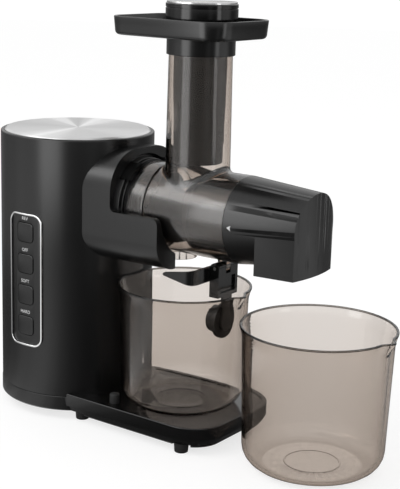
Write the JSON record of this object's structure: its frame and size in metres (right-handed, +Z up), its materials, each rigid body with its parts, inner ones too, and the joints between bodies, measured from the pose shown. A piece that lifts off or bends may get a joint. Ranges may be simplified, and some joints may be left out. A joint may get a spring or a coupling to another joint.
{
  "type": "cold press juicer",
  "caption": "Horizontal cold press juicer: motor column with buttons, clear juicing chamber with auger and strainer, hopper tray with pusher, pulp end cap, stopper lever and cups.",
  "frame": {"origin": "middle of the unit's outline on the table, under the gap between the motor column and the cups", "axes": "+Z up, +X from the motor column towards the pulp cup, -Y towards the user, who faces the buttons"},
  "size_m": [0.4038, 0.1436, 0.3768],
  "materials": {
    "gloss_black": "polished moulded plastic, near black",
    "black_plastic": "fine moulded satin",
    "grey_plastic": "satin dark grey",
    "button_plastic": "satin charcoal",
    "chrome_trim": "polished",
    "brushed_steel": "circular brushed, with a bright turned edge",
    "steel": "machined",
    "cast_metal": "die cast",
    "magnet": "sintered",
    "copper": "enamelled windings",
    "brass_gear": "machined",
    "nylon": "moulded",
    "auger_plastic": "satin",
    "smoked_clear": "clear with a grey smoke tint, polished",
    "silicone": "soft satin",
    "silicone_grey": "soft satin",
    "rubber_black": "matt",
    "circuit_board": "solder mask"
  },
  "bodies": {
    "frame": {"motor_housing": "gloss_black", "top_disc": "brushed_steel", "base_plank": "gloss_black", "bottom_plate": "black_plastic", "feet": "rubber_black", "cup_stop": "rubber_black", "plate_screws": "steel", "control_panel": "black_plastic", "panel_frame": "chrome_trim", "control_board": "circuit_board", "power_board": "circuit_board", "cord_gland": "rubber_black", "arm_housing": "gloss_black", "socket_ring": "grey_plastic", "motor_can": "steel", "motor_end_bell": "cast_metal", "motor_magnets": "magnet", "motor_bearings": "steel", "gearbox_case": "cast_metal", "gearbox_cover": "cast_metal", "gearbox_screws": "steel", "idler_shaft": "steel", "output_bearings": "steel", "shaft_seal": "silicone", "lock_ring": "black_plastic", "juicing_chamber": "smoked_clear", "feed_chute": "smoked_clear", "strainer_frame": "black_plastic", "strainer_mesh": "steel", "lever_pin": "steel"},
    "rev_button": {"button_rev": "button_plastic"},
    "off_button": {"button_off": "button_plastic"},
    "soft_button": {"button_soft": "button_plastic"},
    "hard_button": {"button_hard": "button_plastic"},
    "rotor": {"motor_armature": "copper", "motor_fan": "black_plastic", "motor_pinion": "brass_gear"},
    "idler": {"idler_gear": "nylon", "idler_pinion": "brass_gear"},
    "output": {"output_gear": "steel", "output_shaft": "steel", "auger_coupling": "steel", "auger": "auger_plastic", "auger_nose": "steel"},
    "cap": {"end_cap": "gloss_black", "cap_seal": "silicone", "auger_bush": "nylon"},
    "stopper": {"stopper_lever": "gloss_black", "stopper_plug": "silicone_grey"},
    "tray": {"hopper_tray": "gloss_black"},
    "pusher": {"pusher": "gloss_black", "pusher_head": "gloss_black", "pusher_cap": "brushed_steel"},
    "juice_cup": {"juice_cup": "smoked_clear"},
    "pulp_cup": {"pulp_cup": "smoked_clear"}
  },
  "joints": [
    {"name": "rev_press", "type": "slide", "parent": "frame", "child": "rev_button", "axis": [0, 1, 0], "range_m": [0, 0.0012], "stiffness_N_per_m": 1500},
    {"name": "off_press", "type": "slide", "parent": "frame", "child": "off_button", "axis": [0, 1, 0], "range_m": [0, 0.0012], "stiffness_N_per_m": 1500},
    {"name": "soft_press", "type": "slide", "parent": "frame", "child": "soft_button", "axis": [0, 1, 0], "range_m": [0, 0.0012], "stiffness_N_per_m": 1500},
    {"name": "hard_press", "type": "slide", "parent": "frame", "child": "hard_button", "axis": [0, 1, 0], "range_m": [0, 0.0012], "stiffness_N_per_m": 1500},
    {"name": "rotor_spin", "type": "hinge", "parent": "frame", "child": "rotor", "pos_m": [-0.13165, 0, 0.1987], "axis": [1, 0, 0], "continuous": true},
    {"name": "idler_spin", "type": "hinge", "parent": "frame", "child": "idler", "pos_m": [-0.09565, 0, 0.1567], "axis": [1, 0, 0], "continuous": true},
    {"name": "auger_spin", "type": "hinge", "parent": "frame", "child": "output", "pos_m": [-0.00165, 0, 0.1987], "axis": [1, 0, 0], "continuous": true},
    {"name": "cap_twist", "type": "hinge", "parent": "frame", "child": "cap", "pos_m": [0.05775, 0, 0.1987], "axis": [1, 0, 0], "range_deg": [0, 30]},
    {"name": "stopper_swing", "type": "hinge", "parent": "frame", "child": "stopper", "pos_m": [0.03515, 0, 0.155], "axis": [0, 1, 0], "range_deg": [0, 90]},
    {"name": "tray_lift", "type": "slide", "parent": "frame", "child": "tray", "axis": [0, 0, 1], "range_m": [0, 0.1]},
    {"name": "pusher_slide", "type": "slide", "parent": "tray", "child": "pusher", "axis": [0, 0, 1], "range_m": [0, 0.12]},
    {"name": "juice_cup_lift", "type": "slide", "parent": "frame", "child": "juice_cup", "axis": [0, 0, 1], "range_m": [0, 0.012]},
    {"name": "pulp_cup_slide", "type": "slide", "parent": "frame", "child": "pulp_cup", "axis": [1, 0, 0], "range_m": [0, 0.15]}
  ],
  "couplings": [
    {"joint": "idler_spin", "follows": "rotor_spin", "ratio": -0.15385},
    {"joint": "auger_spin", "follows": "rotor_spin", "ratio": 0.051282}
  ]
}
